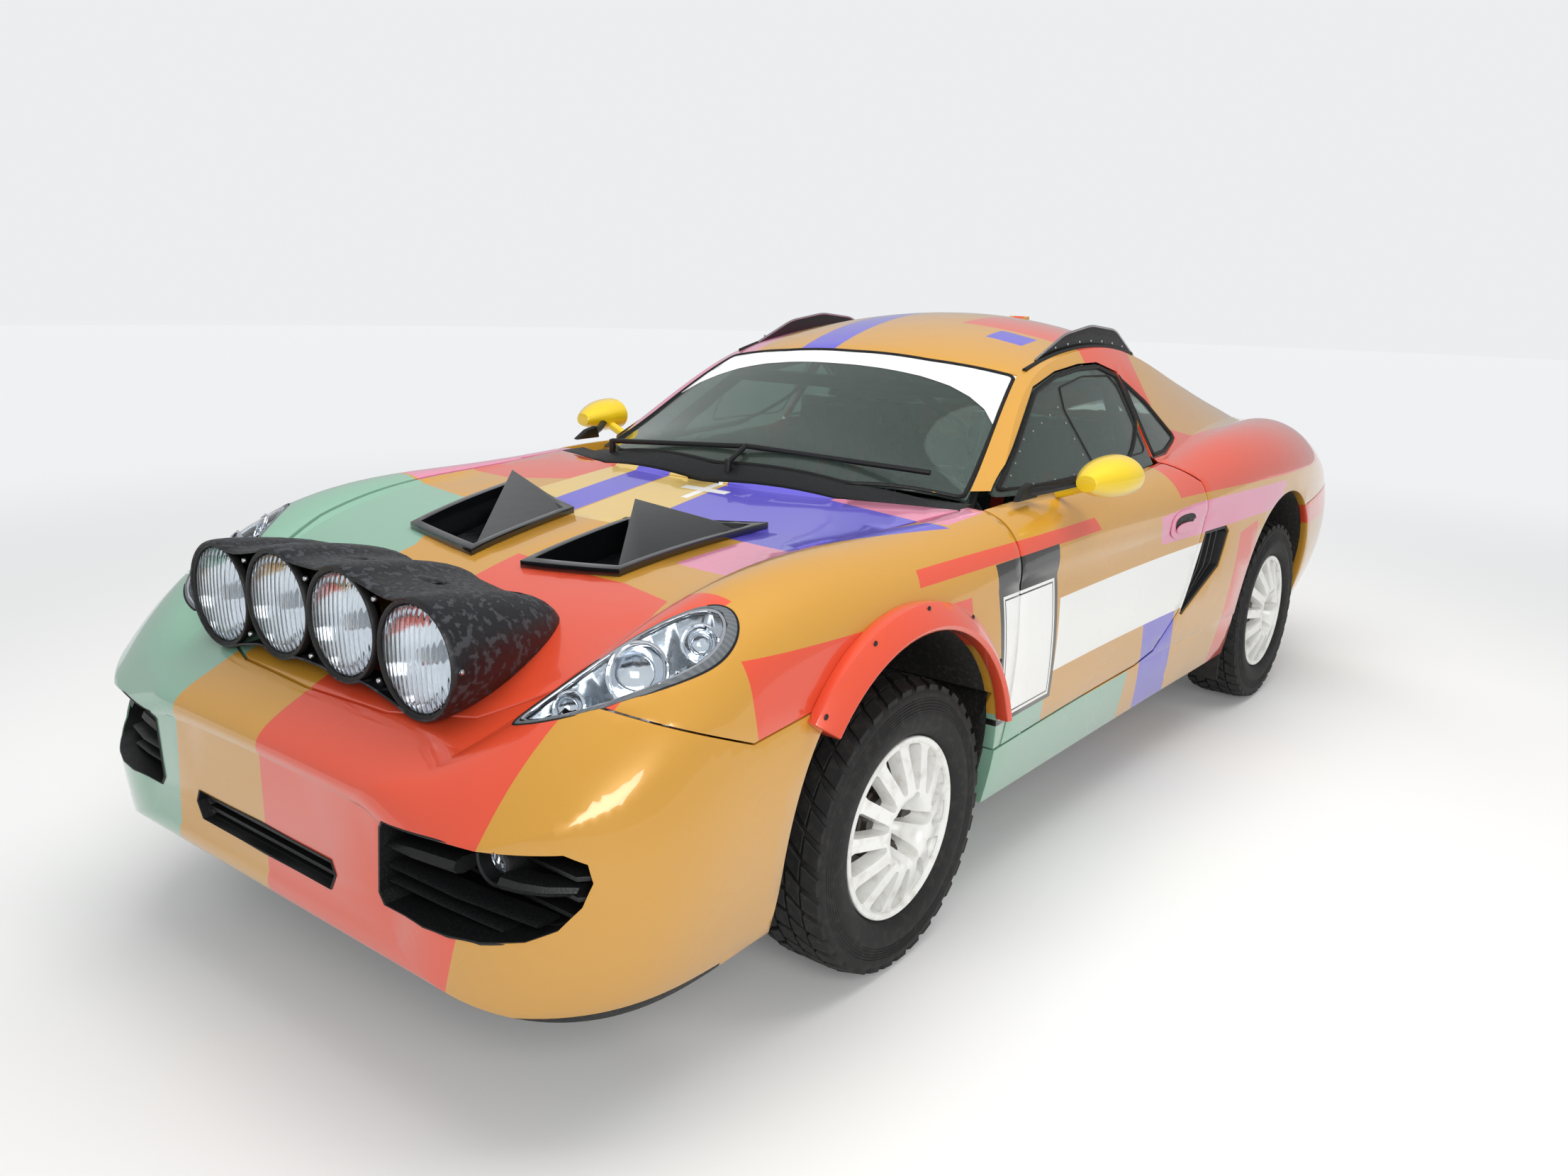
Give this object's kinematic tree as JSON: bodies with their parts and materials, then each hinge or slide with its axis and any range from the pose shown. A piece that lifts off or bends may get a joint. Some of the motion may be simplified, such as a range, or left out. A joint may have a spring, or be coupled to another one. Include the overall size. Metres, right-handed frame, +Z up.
{
  "type": "rally car",
  "caption": "Full-size two-door mid-engined coupe prepared for gravel rallying, raised on knobbly tyres, with a lamp pod, roll cage, steering, opening doors, lid and hatch.",
  "frame": {"origin": "on the ground under the middle of the car", "axes": "+X forward, +Y to the car's left, +Z up"},
  "size_m": [4.3461, 1.944, 1.3718],
  "materials": {
    "gold_paint": "clear-coated gold with coloured blocks",
    "orange_paint": "clear-coated orange-red",
    "yellow_paint": "clear-coated yellow",
    "structure": "satin dark grey paint",
    "black_plastic": "moulded, satin black",
    "pod_plastic": "worn matt black fibreglass",
    "lamp": "bright bowls behind clear glass",
    "glazing": "clear with a slight tint",
    "steel": "plain steel",
    "engine_metal": "cast",
    "seat_shell": "moulded shell",
    "seat_fabric": "woven black",
    "steering_rim": "suede-like",
    "flap": "flexible sheet",
    "tyre": "gravel tread",
    "white_rim": "gloss white"
  },
  "bodies": {
    "root": {"body_shell": "gold_paint", "sills": "gold_paint", "front_fenders": "gold_paint", "front_bumper": "gold_paint", "rear_bumper": "gold_paint", "arch_flares": "orange_paint", "floor_pan": "structure", "roll_cage": "structure", "cowl_panel": "black_plastic", "intake_grilles": "black_plastic", "front_lip": "black_plastic", "dashboard": "black_plastic", "roof_fences": "black_plastic", "wipers": "black_plastic", "headlamps": "lamp", "fog_lamps": "lamp", "tail_lamps": "lamp", "windshield": "glazing", "quarter_glass": "glazing", "front_suspension": "steel", "rear_suspension": "steel", "steering_column": "steel", "exhaust": "steel", "engine_block": "engine_metal", "seat_shells": "seat_shell", "seat_cushions": "seat_fabric", "mud_flaps": "flap"},
    "bonnet": {"bonnet": "gold_paint", "bonnet_ducts": "black_plastic", "lamp_pod": "pod_plastic", "driving_lamps": "lamp"},
    "hatch": {"hatch": "gold_paint", "hatch_glass": "glazing"},
    "door_left": {"door_left": "gold_paint", "door_glass_left": "glazing", "mirror_left": "yellow_paint"},
    "door_right": {"door_right": "gold_paint", "door_glass_right": "glazing", "mirror_right": "yellow_paint"},
    "steering_wheel": {"steering_wheel": "steering_rim"},
    "wheel_front_left": {"wheel_front_left": "white_rim", "tyre_front_left": "tyre"},
    "knuckle_front_left": {"knuckle_front_left": "steel"},
    "wheel_front_right": {"wheel_front_right": "white_rim", "tyre_front_right": "tyre"},
    "knuckle_front_right": {"knuckle_front_right": "steel"},
    "wheel_rear_left": {"wheel_rear_left": "white_rim", "tyre_rear_left": "tyre"},
    "wheel_rear_right": {"wheel_rear_right": "white_rim", "tyre_rear_right": "tyre"}
  },
  "joints": [
    {"name": "steering", "type": "hinge", "parent": "root", "child": "steering_wheel", "pos_m": [0.3, 0.35, 0.8], "axis": [-0.9272, 0, 0.3746], "range_deg": [-450, 450]},
    {"name": "door_left_hinge", "type": "hinge", "parent": "root", "child": "door_left", "pos_m": [0.687, 0.848, 0.6], "axis": [0, 0, -1], "range_deg": [0, 60]},
    {"name": "door_right_hinge", "type": "hinge", "parent": "root", "child": "door_right", "pos_m": [0.687, -0.848, 0.6], "axis": [0, 0, 1], "range_deg": [0, 60]},
    {"name": "bonnet_hinge", "type": "hinge", "parent": "root", "child": "bonnet", "pos_m": [0.766, 0, 0.955], "axis": [0, -1, 0], "range_deg": [0, 45]},
    {"name": "hatch_hinge", "type": "hinge", "parent": "root", "child": "hatch", "pos_m": [-0.662, 0, 1.352], "axis": [0, 1, 0], "range_deg": [0, 50]},
    {"name": "steer_front_left", "type": "hinge", "parent": "root", "child": "knuckle_front_left", "pos_m": [1.185, 0.637, 0.25], "axis": [0, 0, 1], "range_deg": [-30, 30]},
    {"name": "spin_front_left", "type": "hinge", "parent": "knuckle_front_left", "child": "wheel_front_left", "pos_m": [1.185, 0.745, 0.328], "axis": [0, 1, 0], "continuous": true},
    {"name": "steer_front_right", "type": "hinge", "parent": "root", "child": "knuckle_front_right", "pos_m": [1.185, -0.637, 0.25], "axis": [0, 0, 1], "range_deg": [-30, 30]},
    {"name": "spin_front_right", "type": "hinge", "parent": "knuckle_front_right", "child": "wheel_front_right", "pos_m": [1.185, -0.745, 0.328], "axis": [0, 1, 0], "continuous": true},
    {"name": "spin_rear_left", "type": "hinge", "parent": "root", "child": "wheel_rear_left", "pos_m": [-1.23, 0.765, 0.328], "axis": [0, 1, 0], "continuous": true},
    {"name": "spin_rear_right", "type": "hinge", "parent": "root", "child": "wheel_rear_right", "pos_m": [-1.23, -0.765, 0.328], "axis": [0, 1, 0], "continuous": true}
  ],
  "couplings": [
    {"joint": "steer_front_left", "follows": "steering", "ratio": 0.066667},
    {"joint": "steer_front_right", "follows": "steering", "ratio": 0.066667}
  ]
}
